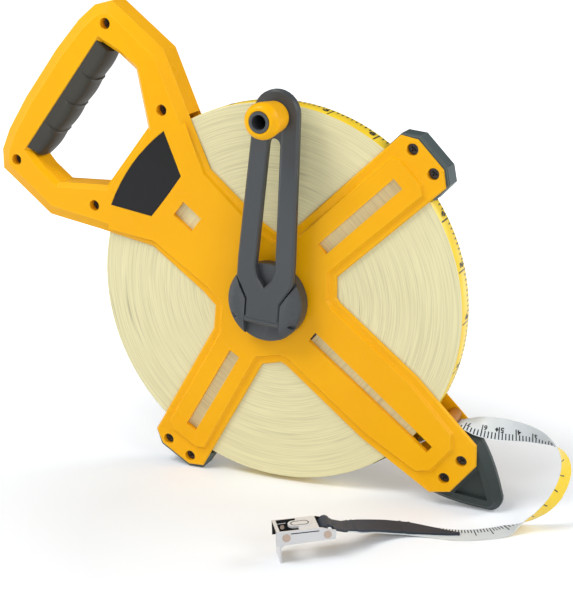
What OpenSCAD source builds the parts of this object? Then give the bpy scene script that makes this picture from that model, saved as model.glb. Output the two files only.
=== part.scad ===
// Open-reel surveyor's tape: a star frame in two moulded halves carries a wound fibreglass tape,
// a folding winding crank and a ground spike, and the free end of the tape ends in a strap and claw hook.
// The frame is drawn flat: x runs from the hub to the handle, y across, and z towards the crank.
// stand() then tips it onto its lower bumper and its spike, as it stands on the ground.

/* [Tape] */
// Length of the wound tape, in metres
tape_length = 100; // [60:5:120]
// Width of the tape
tape_w = 13; // [10:0.5:19]
// Thickness of the tape
tape_t = 0.4; // [0.3:0.02:0.5]
// Radius of the drum that the tape is wound on
core_r = 34.5; // [32:0.5:40]

/* [Frame] */
// Thickness of one frame plate, raised panel included
plate_t = 3.4; // [3:0.2:6]
// Step from the raised panel down to the flange
flange_drop = 1.8; // [1:0.1:2.2]
// Gap between the wound tape and each frame plate
side_gap = 0.4; // [0.3:0.1:1.5]
// Gap between the rim of the wound tape and the frame's closed ends
rim_gap = 3; // [2:0.5:8]
// Angle between the handle's axis and each side arm
arm_angle = 97.4; // [90:0.2:104]
// Width of a side arm
arm_w = 39.2; // [34:0.2:46]
// Length of a side arm past the wound tape
arm_past = 17.6; // [14:0.2:30]
// Width of the spike leg
leg_w = 56.6; // [50:0.2:64]
// Length of the spike leg past the wound tape
leg_past = 38.5; // [34:0.5:50]
// Wall thickness of the closed handle
wall = 2.6; // [2:0.1:4]
// Width of the slots in the arms
slot_w = 7.6; // [5:0.2:10]

/* [Handle] */
// Width across the handle
handle_w = 139; // [120:1:160]
// Clear depth of the finger opening
hand_gap = 55; // [48:1:70]
// Depth of the hand bar behind the finger opening
bar_w = 22; // [18:1:30]
// How far the rubber grip stands into the finger opening
grip_t = 6.6; // [5:0.2:12]

/* [Spike and bumpers] */
// Length of the spike past the end of its leg
spike_l = 26.7; // [18:0.5:40]
// Radius of the spike's tip
tip_r = 8.2; // [6:0.2:11]
// How far the rubber bumpers stand past the frame
bumper_proud = 2; // [1:0.25:4]

/* [Crank] */
// Distance from the hub to the knob
crank_l = 113.6; // [100:0.2:122]
// Direction of the crank from the handle's axis
crank_angle = -56.3; // [-62:0.1:-46]
// Radius of the crank hub
hub_r = 24.2; // [20:0.2:30]
// Thickness of the crank arm
crank_t = 5; // [4.6:0.2:8]
// Width of the arm at the knob
crank_w = 28.4; // [25:0.2:33]
// Length of the knob
knob_l = 21.6; // [16:0.2:34]
// Radius of the knob at its widest
knob_r = 10.5; // [9.5:0.1:14]

/* [Screws] */
// Radius of the screw heads
screw_head_r = 3.1; // [2.5:0.1:3.4]
// Radius of the screw shanks
screw_r = 1.5; // [1:0.1:2]

/* [Hook] */
// Length of the claw hook's frame
hook_l = 33.5; // [28:0.5:45]
// How far the claw hook's frame stands out past each edge of the tape
hook_out = 1.35; // [1:0.05:3]
// Height of the claw hook's frame
hook_h = 8.5; // [7:0.5:12]
// Reach of the claw below the hook's frame
claw_reach = 11; // [6:0.5:14]
// Sheet thickness of the hook and its claw
hook_t = 0.8; // [0.6:0.1:1.2]

/* [Hidden] */
$fn = 64;
eps = 0.01;

// The wound tape: its cross section holds the whole length of the tape.
pack_r = sqrt(core_r * core_r + tape_length * 1000 * tape_t / PI);
pack_w = tape_w + 0.2;

// Levels along the hub axis, from the front panel backwards.
pack_front = -plate_t - side_gap;
pack_back = pack_front - pack_w;
rear_in = pack_back - side_gap;
rear_out = rear_in - plate_t;
mid = (pack_front + pack_back) / 2;
inner_w = pack_w + 2 * side_gap;
plate_in = -plate_t;
closed_r = pack_r + rim_gap;

// Lengths along the handle and the spike leg.
window_in = pack_r + 8;
window_out = window_in + hand_gap;
handle_end = window_out + bar_w;
hw = handle_w / 2;
neck_w = 66.6;
arm_half = arm_w / 2;
arm_shift = 0.9;
arm_r = pack_r + arm_past;
arm_cut = 6;
arm_cut_w = 8.5;
leg_r = pack_r + leg_past;
leg_end_w = 45;
leg_tip_w = 24.8;
leg_cut = 8.5;

// Bushes and the spool's boss.
boss_r = 13;
run = 0.05;
bush_wall = 3;
bush_r = boss_r + run + bush_wall;

// Levels of the crank, from the hub outwards.
hub_gap = 1.6;
hub_floor = 8.5;
arm_lift = 0.4;
crank_z = hub_floor + arm_lift;
crank_top = crank_z + crank_t;
pivot_z = crank_z + crank_t / 2;
pivot_s = -10.8;
pivot_r = 1.5;
hub_t = crank_top - 0.2 - hub_gap;
neck_half = 11.2;
cheek_gap = 0.3;
shoulder_s = 1.8;
shoulder_l = 13;
arm_wide = 18.2;
knob_z = crank_top + 0.5;
post_r = 6.1;
post_hole_r = 4.2;
post_top = knob_z + knob_l + 0.4;

// Screws: two in each arm's end, two in the spike and four round the handle.
screw_seat = -6.6;
screw_tip = rear_in + 1.2;
boss_screw_r = 4.4;
arm_screw_r = pack_r + 11.6;
arm_screw_w = 9;
leg_screw_u = leg_r - 8.3;
leg_screw_v = 8.2;

// Points in the plane of the frame.
function rot2(p, a) = [p[0] * cos(a) - p[1] * sin(a), p[0] * sin(a) + p[1] * cos(a)];
function unit2(p) = p / norm(p);
function flip_y(pts) = [for (i = [len(pts) - 1:-1:0]) [pts[i][0], -pts[i][1]]];
function both_sides(half) = concat(half, flip_y(half));
function arc(c, r, a0, a1, n) = [for (i = [0:n]) let (a = a0 + (a1 - a0) * i / n) c + r * [cos(a), sin(a)]];

// A closed outline moved inwards by d, with sharp corners kept sharp, or by its own d at each point.
// The outline runs anticlockwise.
function inset(pts, d) = let (n = len(pts)) [for (i = [0:n - 1])
    let (e1 = unit2(pts[i] - pts[(i + n - 1) % n]), e2 = unit2(pts[(i + 1) % n] - pts[i]),
        n1 = [-e1[1], e1[0]], n2 = [-e2[1], e2[0]])
    pts[i] + (is_list(d) ? d[i] : d) * (n1 + n2) / (1 + n1 * n2)];

// A point on the +y side arm: r along the arm and w across it, towards the handle.
function arm_pt(r, w) = [arm_shift, 0] + r * [cos(arm_angle), sin(arm_angle)]
    + w * [sin(arm_angle), -cos(arm_angle)];

// Half of the frame's outline, from the handle's end round the +y arm to the end of the leg.
function half_outline(r_arm, r_leg) = [
    [handle_end, 0.29 * hw], [handle_end - 2, 0.65 * hw], [handle_end - 5.5, 0.86 * hw],
    [handle_end - 13, hw], [window_in + 20, hw], [window_in - 14, 0.73 * hw],
    [window_in - 47, neck_w / 2], [bush_r + 20, neck_w / 2 - 1.8], [bush_r + 8.5, neck_w / 2 - 0.6],
    arm_pt(43, arm_half + 1.6), arm_pt(r_arm - arm_cut, arm_half), arm_pt(r_arm, arm_half - arm_cut_w),
    arm_pt(r_arm, arm_cut_w - arm_half), arm_pt(r_arm - arm_cut, -arm_half),
    arm_pt(42, 2.6 - arm_half), [-29.3, leg_w / 2 + 1], [-33, leg_w / 2], [22 - pack_r, leg_w / 2],
    [leg_cut - r_leg, leg_end_w / 2], [-r_leg, leg_tip_w / 2]];
frame_pts = both_sides(half_outline(arm_r, leg_r));

// How far each point of the outline belongs to the hand end, where the panel reaches the edge and slopes
// down to it broadly. Elsewhere a flange runs round the panel.
hand_half = [for (i = [0:19]) i < 5 ? 1 : i == 5 ? 0.8 : i == 6 ? 0.3 : 0];
hand_end = concat(hand_half, [for (i = [19:-1:0]) hand_half[i]]);
function mixed(a, b) = [for (k = hand_end) a + (b - a) * k];
panel_pts = inset(both_sides(half_outline(arm_r - 10, leg_r - 12)), mixed(4.6, 0.3));
window_pts = both_sides([[window_out, hw - 24.5], [window_out - 13, hw - 22], [window_in + 27, hw - 22],
    [window_in, hw - 45]]);

// The spike: a slightly bulged flank from the leg to the round tip.
spike_r = leg_r + spike_l;
tip_c = [tip_r - spike_r, 0];
flank_from = [leg_cut - leg_r, leg_end_w / 2 + 2.4];
flank_to = tip_c + tip_r * [cos(118), sin(118)];
flank_by = (flank_from + flank_to) / 2 + [1.4, 4];
spike_half = concat([[14.5 - leg_r + 4, leg_end_w / 2 + 1]],
    [for (i = [0:4]) let (k = i / 5) (1 - k) * (1 - k) * flank_from + 2 * k * (1 - k) * flank_by
        + k * k * flank_to]);
spike_pts = concat(spike_half, arc(tip_c, tip_r, 118, 242, 8), flip_y(spike_half));

// The lower bumper's foot and the spike's tip touch the ground together.
foot = arm_pt(arm_r + bumper_proud, arm_cut_w - arm_half - 0.6);
foot_w = 9.8;
foot_k = norm([foot[0] - tip_c[0], foot[1]]);
stand_angle = 180 + asin(tip_r / foot_k) - atan2(foot[1], foot[0] - tip_c[0]);
hub_height = -(foot[0] * sin(stand_angle) + foot[1] * cos(stand_angle));
foot_end = foot + foot_w * [cos(stand_angle), -sin(stand_angle)];
bumper_end = concat([arm_pt(closed_r - 2, arm_half + 0.6), arm_pt(arm_r - arm_cut + 1, arm_half + 0.6),
    arm_pt(arm_r + bumper_proud, arm_half - arm_cut_w + 0.6)], [foot, foot_end],
    [arm_pt(closed_r - 2, -arm_half - 1)]);

// The origin lies on the ground under the middle of the reel without its free tape.
function side_x(p) = p[0] * cos(stand_angle) - p[1] * sin(stand_angle);
low_x = min([for (p = frame_pts) side_x(p)]);
high_x = max(concat([for (p = spike_pts) side_x(p)], [side_x(tip_c) + tip_r]));
cap_t = 3.4;
cap_back = rear_out - 0.6 - cap_t;
hub_x = -(low_x + high_x) / 2;
hub_y = (post_top + cap_back) / 2;

// The tape leaves the wound rim tangentially and passes between the two guide rollers.
roller_r = 4;
roller_gap = 0.3;
mouth = [-13.2 - pack_r, -19.5];
mouth_a = atan2(mouth[1], mouth[0]);
leave_r = pack_r + tape_t / 2 + 0.3;
leave_a = mouth_a - acos(leave_r / norm(mouth));
leave = leave_r * [cos(leave_a), sin(leave_a)];
run_dir = unit2(mouth - leave);
run_side = [-run_dir[1], run_dir[0]];
roller_off = roller_r + tape_t / 2 + roller_gap;
roller_at = [mouth + roller_off * run_side, mouth - roller_off * run_side];
pin_r = 1.5;

// The free tape's route over the ground, and how far it has turned about its own line at each point.
tape_route = [[137, 16.2, 51.5], [138.2, 16.2, 52.1], [139.8, 16.3, 52.2], [145, 16.4, 52.1],
    [151, 16.5, 51.8], [161, 16.5, 51.7], [170.5, 16.5, 51.8], [179.5, 16.2, 51.6], [188.5, 15.6, 50.2],
    [195, 15, 47.6], [199.5, 14.2, 44], [202.3, 13.2, 38.8], [203.2, 11.8, 32.8], [202.3, 8.8, 26.6],
    [200, 5, 20.8], [196.8, 2.4, 15.8], [192.2, 0.4, 10.8], [186.8, -1.6, 6.8], [181.2, -4, 3.4],
    [176, -7.6, 1.2], [170.4, -13, 0.5], [162, -18.6, 0.4], [154, -22.5, 0.4], [146, -24.6, 0.4],
    [136, -25.6, 0.4], [126, -28, 1.2], [117, -32.6, 3], [109.4, -39.8, 5.8], [102.6, -48.4, 8.8],
    [98.2, -56, 11.4], [94.6, -62.2, 13.2]];
tape_turn = [0, 0, 1, 15, 40, 70, 92, 108, 125, 146, 166, 184, 197, 204, 210, 211, 206, 196, 184, 173, 177,
    180, 180, 180, 180, 181, 184, 188, 192, 198, 204];
strap_from = 23;
strap_t = 1.3;

// The hook stands on its claw at the end of the strap.
hook_at = [87.1, -68.8, claw_reach];
hook_turn = 34.5;
hook_w = tape_w + 2 * hook_out;
hook_pin_x = 28.7;
hook_pin_z = 4;
hook_pin_r = 1.5;
loop_r = hook_pin_r + 0.7 + strap_t / 2;
claw_pin_x = 5.5;
claw_pin_z = 4.6;
claw_w = hook_w - 2 * hook_t - 0.8;
claw_x = 1.8;

// A solid between outlines with the same number of points, one at each level.
module slab(outlines, levels) {
    n = len(outlines[0]);
    k = len(levels);
    polyhedron(
        points = [for (j = [0:k - 1]) for (p = outlines[j]) [p[0], p[1], levels[j]]],
        faces = concat([[for (i = [0:n - 1]) i]], [[for (i = [n - 1:-1:0]) (k - 1) * n + i]],
            [for (j = [0:k - 2]) for (i = [0:n - 1]) let (a = j * n + i, b = j * n + (i + 1) % n)
                each [[a, a + n, b + n], [a, b + n, b]]]));
}

module level(from, to) {
    translate([0, 0, min(from, to)]) linear_extrude(abs(to - from)) children();
}

module on_arms() {
    children();
    mirror([0, 1, 0]) children();
}

// Tips the flat drawing up so that the reel stands on the ground.
module stand() {
    translate([hub_x, hub_y, hub_height]) rotate([90, 0, 0]) rotate([0, 0, stand_angle]) children();
}

// Turns the crank's own frame, where x runs from the hub to the knob, into the flat drawing.
module on_crank() {
    stand() rotate([0, 0, crank_angle]) children();
}

screw_at = concat(
    [for (w = [-1, 1]) arm_pt(arm_screw_r, w * arm_screw_w)],
    [for (w = [-1, 1]) let (p = arm_pt(arm_screw_r, w * arm_screw_w)) [p[0], -p[1]]],
    [for (s = [-1, 1]) [-leg_screw_u, s * leg_screw_v]],
    [for (s = [-1, 1]) [window_in - 1.5, s * (hw - 29)]],
    [for (s = [-1, 1]) [window_out + 3.4, s * (hw - 13)]]);

// The area between the plates that the handle's walls close, and its hollow.
module handle_area(in) {
    intersection() {
        difference() {
            polygon(inset(frame_pts, in));
            circle(r = closed_r + in, $fn = 128);
            polygon(inset(window_pts, -in));
        }
        translate([window_in - 30, -hw]) square([handle_w, handle_w]);
    }
}

// The slots through the plates: one along each arm and one along the leg, and a window in the neck.
module slots() {
    on_arms() {
        polygon([arm_pt(47, 1 + slot_w / 2), arm_pt(pack_r - 7.5, slot_w / 2),
            arm_pt(pack_r - 7.5, -slot_w / 2), arm_pt(47, 1 - slot_w / 2)]);
    }
    polygon([[-33.5, 3.7], [-33.5, -3.7], [-12.3 - pack_r, -2.7], [-12.3 - pack_r, 2.7]]);
    translate([window_in - 61.4, -5.7]) square([15.4, 11.4]);
}

// A closed band round an outline that takes the sharp edge off, w wide at the top and d deep.
// The outline, w, d and top have a value for each point.
module edge_cut(pts, w, d, top) {
    n = len(pts);
    foot = top - d;
    head = [for (t = top) t + 0.5];
    heights = [foot, foot, head, head];
    in_w = [for (i = [0:n - 1]) w[i] * (d[i] + 0.5) / d[i]];
    rings = [inset(pts, -2), inset(pts, 0), inset(pts, in_w), inset(pts, -2)];
    polyhedron(points = [for (j = [0:3]) for (i = [0:n - 1]) [rings[j][i][0], rings[j][i][1], heights[j][i]]],
        faces = [for (j = [0:3]) for (i = [0:n - 1]) let (k = (i + 1) % n, l = (j + 1) % 4)
            each [[j * n + i, j * n + k, l * n + k], [j * n + i, l * n + k, l * n + i]]]);
}

// One half of the frame, drawn as the front one.
module frame_half() {
    difference() {
        union() {
            level(plate_in, -flange_drop) polygon(frame_pts);
            level(plate_in, 0) polygon(panel_pts);
            level(mid, plate_in) difference() {
                handle_area(0);
                handle_area(wall);
            }
            for (p = screw_at) translate([p[0], p[1], mid])
                cylinder(r = boss_screw_r, h = -flange_drop - mid - 0.2);
        }
        edge_cut(frame_pts, mixed(0.9, 6.6), mixed(0.9, 3), mixed(-flange_drop, 0));
        edge_cut(panel_pts, mixed(1.3, 1.3), mixed(flange_drop - 0.1, flange_drop - 0.1), mixed(0, 0));
        slab([window_pts, window_pts, inset(window_pts, -3)], [mid - 1, -3, 0.1]);
        level(plate_in - 1, 1) slots();
        translate([0, 0, plate_in - 1]) cylinder(r = bush_r, h = plate_t + 2);
    }
}

module front_frame() {
    color("orange") stand() difference() {
        frame_half();
        for (p = screw_at) translate([p[0], p[1], 0]) {
            translate([0, 0, screw_seat]) cylinder(r = screw_head_r + 0.4, h = 10);
            translate([0, 0, mid - 1]) cylinder(r = screw_r + 0.2, h = 10);
        }
        level(-0.5, 1) polygon(label_pts(0.2));
    }
}

module rear_frame() {
    color("orange") stand() difference() {
        translate([0, 0, 2 * mid]) mirror([0, 0, 1]) frame_half();
        for (p = screw_at) translate([p[0], p[1], screw_tip - 0.5]) cylinder(r = screw_r, h = 20);
    }
}

module frame_screws() {
    color("dimgray") stand() for (p = screw_at) translate([p[0], p[1], 0]) difference() {
        union() {
            translate([0, 0, screw_seat]) cylinder(r = screw_head_r, h = 2);
            translate([0, 0, screw_tip]) cylinder(r = screw_r, h = screw_seat - screw_tip + eps);
        }
        for (a = [0, 90]) translate([0, 0, screw_seat + 1.5]) rotate([0, 0, a])
            cube([3.6, 0.8, 2], center = true);
    }
}

// The rubber grip fills the hand side of the finger opening, with four finger hollows.
finger = (hw - 24.5) / 2;
function grip_x(y) = window_out - grip_t - 2.4 * (1 - pow(y / hw, 2)) - 1.1 * abs(sin(y / finger * 180))
    + 3 * pow(y / hw, 4);
function grip_pts(out, in) = concat([[window_out + out, hw - 25]],
    [for (i = [0:32]) let (y = (hw - 26 - in / 4) * (1 - i / 16)) [grip_x(y) + in, y]],
    [[window_out + out, 25 - hw]]);

module handle_grip() {
    front = [for (q = [[2.3, 4.6], [1.05, 2.2], [0, 1.1], [0, 0]]) grip_pts(q[0], q[1])];
    steps = [-0.5, -1.8, -3, -7];
    color("dimgray") stand() slab([for (i = [0:7]) front[i < 4 ? i : 7 - i]],
        [for (i = [0:7]) i < 4 ? 2 * mid - steps[i] : steps[7 - i]]);
}

module bumper() {
    difference() {
        slab([inset(bumper_end, 0.8), bumper_end, bumper_end, inset(bumper_end, 0.8)],
            [rear_in, rear_in + 0.8, plate_in - 0.8, plate_in]);
        for (w = [-1, 1]) translate(arm_pt(arm_screw_r, w * arm_screw_w))
            translate([0, 0, rear_in - 1]) cylinder(r = boss_screw_r, h = inner_w + 2);
    }
}

module lower_bumper() {
    color("darkslategray") stand() bumper();
}

module upper_bumper() {
    color("darkslategray") stand() mirror([0, 1, 0]) bumper();
}

// The spike is held between the plates by its screws, and has a three-cornered hollow in each face.
module ground_spike() {
    edge = 4.2;
    color("darkslategray") stand() difference() {
        slab([inset(spike_pts, edge), spike_pts, spike_pts, inset(spike_pts, edge)],
            [rear_in + 0.5, mid - 1.6, mid + 1.6, plate_in - 0.5]);
        for (s = [-1, 1]) translate([-leg_screw_u, s * leg_screw_v, rear_in - 1])
            cylinder(r = boss_screw_r, h = inner_w + 2);
        translate([roller_at[1][0], roller_at[1][1], rear_in - 1])
            cylinder(r = roller_r + 0.9, h = inner_w + 2);
        for (side = [0, 1]) translate([0, 0, side * 2 * mid]) mirror([0, 0, side])
            level(plate_in - 3, plate_in + 1)
                polygon([[-leg_r - 2, 11.5], [-leg_r - 2, -11.5], [-leg_r - 19, 0]]);
    }
}

// The fan-shaped plate between the handle and the hub, with a curved outer and inner edge.
label_a = 15.2;
function label_pts(out) = let (r_in = pack_r - 27.7 - out, r_out = pack_r + 2 + out)
    concat([for (i = [4:-1:-4]) r_out * [cos(label_a * i / 4), -sin(label_a * i / 4)] - [0, out * i / 4]],
        [for (i = [-2:2]) r_in * [cos(0.36 * label_a * i), -sin(0.36 * label_a * i)]
            + [0.5 * i * i, -out * i / 2]]);

module label_plate() {
    color("black") stand() level(-0.5, -0.1) polygon(label_pts(0));
}

module guide_pins() {
    color("silver") stand() for (p = roller_at) translate([p[0], p[1], rear_in])
        cylinder(r = pin_r, h = inner_w);
}

module guide_roller(i) {
    color("gold") stand() translate([roller_at[i][0], roller_at[i][1], rear_in + 0.2]) difference() {
        cylinder(r = roller_r, h = inner_w - 0.4);
        translate([0, 0, -1]) cylinder(r = pin_r + run, h = inner_w + 2);
    }
}

module upper_guide_roller() { guide_roller(0); }
module lower_guide_roller() { guide_roller(1); }

module bush() {
    difference() {
        cylinder(r = bush_r, h = plate_t);
        translate([0, 0, -1]) cylinder(r = boss_r + run, h = plate_t + 2);
    }
}

module front_bush() {
    color("ivory") stand() translate([0, 0, plate_in]) bush();
}

module rear_bush() {
    color("ivory") stand() translate([0, 0, rear_out]) bush();
}

// The drum: a rim under the tape, a web with round holes and a hollow boss that runs in both bushes.
module spool_core() {
    rim = 2.5;
    color("dimgray") stand() difference() {
        union() {
            translate([0, 0, pack_back]) difference() {
                cylinder(r = core_r, h = pack_w);
                translate([0, 0, -1]) cylinder(r = core_r - rim, h = pack_w + 2);
            }
            translate([0, 0, mid - 1.5]) cylinder(r = core_r - rim + eps, h = 3);
            translate([0, 0, rear_out - 0.6]) cylinder(r = boss_r, h = hub_gap + 0.6 - rear_out);
        }
        translate([0, 0, rear_out - 2]) cylinder(r = 9, h = -rear_out - 4);
        translate([0, 0, -10]) cylinder(r = 2, h = 20);
        for (i = [0:5]) rotate([0, 0, 60 * i]) translate([22.5, 0, mid - 3]) cylinder(r = 5.5, h = 6);
    }
}

module tape_pack() {
    color("wheat") stand() translate([0, 0, pack_back]) difference() {
        cylinder(r = pack_r, h = pack_w, $fn = 128);
        translate([0, 0, -1]) cylinder(r = core_r, h = pack_w + 2);
    }
}

// The channel that the crank's neck lies in, wider towards its shoulders.
channel_half = [[40, arm_wide + 0.9 + cheek_gap],
    [shoulder_s + shoulder_l - cheek_gap, arm_wide + 0.9 + cheek_gap],
    [shoulder_s - cheek_gap, neck_half + cheek_gap], [-40, neck_half + cheek_gap]];
channel_pts = both_sides(channel_half);

module crank_hub() {
    color("slategray") on_crank() difference() {
        translate([0, 0, hub_gap]) rotate_extrude()
            polygon([[0, 0], [hub_r, 0], [hub_r, hub_t - 3.6], [hub_r - 1, hub_t - 2.1], [hub_r - 6, hub_t],
                [0, hub_t]]);
        level(hub_floor, 20) polygon(channel_pts);
        translate([pivot_s, 30, pivot_z]) rotate([90, 0, 0]) cylinder(r = pivot_r, h = 60);
        translate([0, 0, -1]) cylinder(r = 2, h = hub_floor + 2);
    }
}

module crank_pivot_pin() {
    reach = neck_half + 5.6;
    color("silver") on_crank() translate([pivot_s, reach, pivot_z]) rotate([90, 0, 0])
        cylinder(r = pivot_r, h = 2 * reach);
}

module rear_cap() {
    color("dimgray") stand() translate([0, 0, rear_out - 0.6]) mirror([0, 0, 1]) difference() {
        rotate_extrude()
            polygon([[0, 0], [bush_r + 4, 0], [bush_r + 4, 1.6], [bush_r + 1.6, cap_t], [0, cap_t]]);
        translate([0, 0, -1]) cylinder(r = 2.2, h = 10);
        translate([0, 0, cap_t - 1.8]) cylinder(r = 4.2, h = 5);
    }
}

// One long screw ties the rear cap, the drum and the crank hub together.
module hub_screw() {
    color("silver") stand() {
        translate([0, 0, cap_back + 0.2]) cylinder(r = 4, h = 1.6);
        translate([0, 0, cap_back + 1.8 - eps]) cylinder(r = 1.98, h = hub_floor - 0.4 - cap_back - 1.8);
    }
}

arm_pts = let (w0 = arm_wide, w1 = crank_w / 2) concat(
    [[pivot_s, neck_half], [pivot_s, -neck_half], [shoulder_s, -neck_half], [shoulder_s + shoulder_l, -w0]],
    [[shoulder_s + shoulder_l + 12, -w0]],
    arc([crank_l + 1, 0], w1, -84, 84, 14),
    [[shoulder_s + shoulder_l + 12, w0], [shoulder_s + shoulder_l, w0], [shoulder_s, neck_half]]);
crank_window = concat([[10.4, 0], [16, -4.6], [22.5, -6.5]], arc([crank_l - 16.8, 0], 3.9, -88, 88, 8),
    [[22.5, 6.5], [16, 4.6]]);

module crank_arm() {
    color("slategray") on_crank() difference() {
        union() {
            slab([inset(arm_pts, 0.8), arm_pts, arm_pts, inset(arm_pts, 1.2)],
                [crank_z, crank_z + 0.8, crank_top - 1.2, crank_top]);
            translate([pivot_s, neck_half, pivot_z]) rotate([90, 0, 0])
                cylinder(r = crank_t / 2, h = 2 * neck_half);
        }
        slab([crank_window, crank_window, inset(crank_window, -0.8)],
            [crank_z - 1, crank_top - 0.8, crank_top + 0.1]);
        translate([pivot_s, 30, pivot_z]) rotate([90, 0, 0]) cylinder(r = pivot_r + run, h = 60);
        translate([crank_l, 0, crank_z - 1]) cylinder(r = post_hole_r + 1, h = crank_t + 2);
    }
}

// The hollow post that the knob turns on, riveted over behind the arm.
module knob_post() {
    color("dimgray") on_crank() translate([crank_l, 0, 0]) difference() {
        union() {
            translate([0, 0, crank_z]) cylinder(r = post_hole_r + 1, h = crank_t + 1);
            translate([0, 0, crank_top]) cylinder(r = post_r, h = post_top - crank_top);
        }
        translate([0, 0, crank_z + 2]) cylinder(r = post_hole_r, h = 60);
    }
}

// The knob widens from the arm towards its rounded end.
module crank_knob() {
    color("orange") on_crank() translate([crank_l, 0, knob_z]) rotate_extrude() polygon([
        [post_r + run, 0], [knob_r - 2.1, 0], [knob_r - 1.5, 0.7], [knob_r - 1.2, 4],
        [knob_r, knob_l - 6.4], [knob_r, knob_l - 4], [knob_r - 0.6, knob_l - 2.1],
        [knob_r - 1.7, knob_l - 0.7], [knob_r - 3, knob_l], [post_r + run, knob_l]]);
}

// The straight stretch of tape from the wound rim to the rollers.
module tape_run() {
    color("wheat") stand() level(mid - tape_w / 2, mid + tape_w / 2) polygon([
        leave + tape_t / 2 * run_side, leave - tape_t / 2 * run_side,
        mouth - 0.4 * run_dir - tape_t / 2 * run_side, mouth - 0.4 * run_dir + tape_t / 2 * run_side]);
}

function unit(p) = p / norm(p);
function along(pts, i) = unit(pts[min(i + 1, len(pts) - 1)] - pts[max(i - 1, 0)]);

// Across the tape at a point of its route: level, then turned about the route.
function across(t, a) = let (flat = unit([0, 1, 0] - t[1] * t)) cos(a) * flat + sin(a) * cross(t, flat);

// A flat band swept along a route, with a direction across it and a half-width at each point.
module band(pts, sides, w, low, high) {
    k = len(pts);
    d = (high - low) / 4;
    ring = [for (i = [0:k - 1])
        let (t = along(pts, i), a = unit(sides[i] - (sides[i] * t) * t), up = cross(t, a), v = w[i] - 0.3)
        each [for (q = [[-w[i], low + d], [-v, low], [v, low], [w[i], low + d], [w[i], high - d], [v, high],
            [-v, high], [-w[i], high - d]]) pts[i] + q[0] * a + q[1] * up]];
    polyhedron(points = ring, faces = concat([[for (i = [0:7]) i]], [[for (i = [7:-1:0]) 8 * (k - 1) + i]],
        [for (j = [0:k - 2]) for (i = [0:7]) let (a = 8 * j + i, b = 8 * j + (i + 1) % 8)
            each [[a, a + 8, b + 8], [a, b + 8, b]]]));
}

module tape_lead() {
    sides = [for (i = [0:len(tape_route) - 1]) across(along(tape_route, i), tape_turn[i])];
    color("ivory") band(tape_route, sides, [for (p = tape_route) tape_w / 2], -tape_t / 2, tape_t / 2);
}

// The end strap lies on the last of the tape, rises to the hook and loops round its pin.
hook_x = [cos(hook_turn), sin(hook_turn), 0];
hook_y = [-sin(hook_turn), cos(hook_turn), 0];
loop_pts = [for (i = [0:12]) let (a = 40 + 24 * i)
    hook_at + [0, 0, hook_pin_z] + loop_r * (cos(a) * hook_x + [0, 0, sin(a)])];
strap_up = tape_t / 2 + 0.1 + strap_t / 2;
strap_on = [for (i = [strap_from:len(tape_route) - 1])
    let (t = along(tape_route, i)) tape_route[i] + strap_up * cross(t, across(t, tape_turn[i]))];
strap_line = concat(strap_on, loop_pts);
strap_sides = [for (i = [0:len(strap_line) - 1]) i < len(strap_on)
    ? across(along(tape_route, strap_from + i), tape_turn[strap_from + i]) : -1 * hook_y];

module end_strap() {
    widths = [for (i = [0:len(strap_line) - 1]) tape_w / 2 - (i == 0 ? 4 : 0.5)];
    color("black") band(strap_line, strap_sides, widths, -strap_t / 2, strap_t / 2);
}

// The hook's own frame has x from the claw to the strap and z up from the lower edge of its sides.
module on_hook() {
    translate(hook_at) rotate([0, 0, hook_turn]) translate([-hook_pin_x, 0, 0]) children();
}

module hook_frame() {
    web_from = 13;
    web_to = hook_pin_x - 4.6;
    color("silver") on_hook() difference() {
        union() {
            for (s = [-1, 1]) translate([0, s * (hook_w - hook_t) / 2 + hook_t / 2, 0]) rotate([90, 0, 0])
                linear_extrude(hook_t) polygon([[0, 0], [hook_l, 0.6], [hook_l, hook_h - 2.6],
                    [hook_pin_x - 4, hook_h], [0, hook_h]]);
            for (x = [[web_from, web_to], [0, 2]]) translate([x[0], -hook_w / 2 + eps, hook_h - hook_t])
                cube([x[1] - x[0], hook_w - 2 * eps, hook_t]);
            translate([0, 0, hook_h - hook_t]) linear_extrude(hook_t + 0.5)
                polygon(concat(arc([web_to - 6.6, 0], 3.7, -90, 90, 12),
                    arc([web_from - 1.6, 0], 3.7, 90, 270, 12)));
        }
        for (s = [-1, 1]) translate([8, s * hook_w / 2 - 0.3, hook_h - 2.1]) cube([web_to - 8, 0.6, 0.6]);
        translate([hook_pin_x, 20, hook_pin_z]) rotate([90, 0, 0]) cylinder(r = hook_pin_r, h = 40);
        translate([claw_pin_x, 20, claw_pin_z]) rotate([90, 0, 0]) cylinder(r = 1.2, h = 40);
    }
}

module strap_pin() {
    color("silver") on_hook() translate([hook_pin_x, hook_w / 2 + 0.6, hook_pin_z]) rotate([90, 0, 0]) {
        cylinder(r = hook_pin_r, h = hook_w + 1.2);
        for (z = [0, hook_w + 0.6]) translate([0, 0, z]) cylinder(r = 2.1, h = 0.6);
    }
}

// Two ears inside the hook's sides carry the claw's plate, which hangs down from them.
module hook_claw() {
    color("silver") on_hook() difference() {
        union() {
            for (s = [-1, 1]) translate([0, s * (claw_w - hook_t) / 2 + hook_t / 2, 0]) rotate([90, 0, 0])
                linear_extrude(hook_t) polygon([[claw_x, -3], [claw_pin_x + 2, claw_pin_z - 2.4],
                    [claw_pin_x + 2, claw_pin_z + 2], [claw_x, claw_pin_z + 1.8]]);
            translate([claw_x, -claw_w / 2 + eps, -claw_reach])
                cube([hook_t, claw_w - 2 * eps, claw_reach + claw_pin_z + 1.8]);
        }
        translate([claw_pin_x, 20, claw_pin_z]) rotate([90, 0, 0]) cylinder(r = 1.2 + run, h = 40);
    }
}

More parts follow.
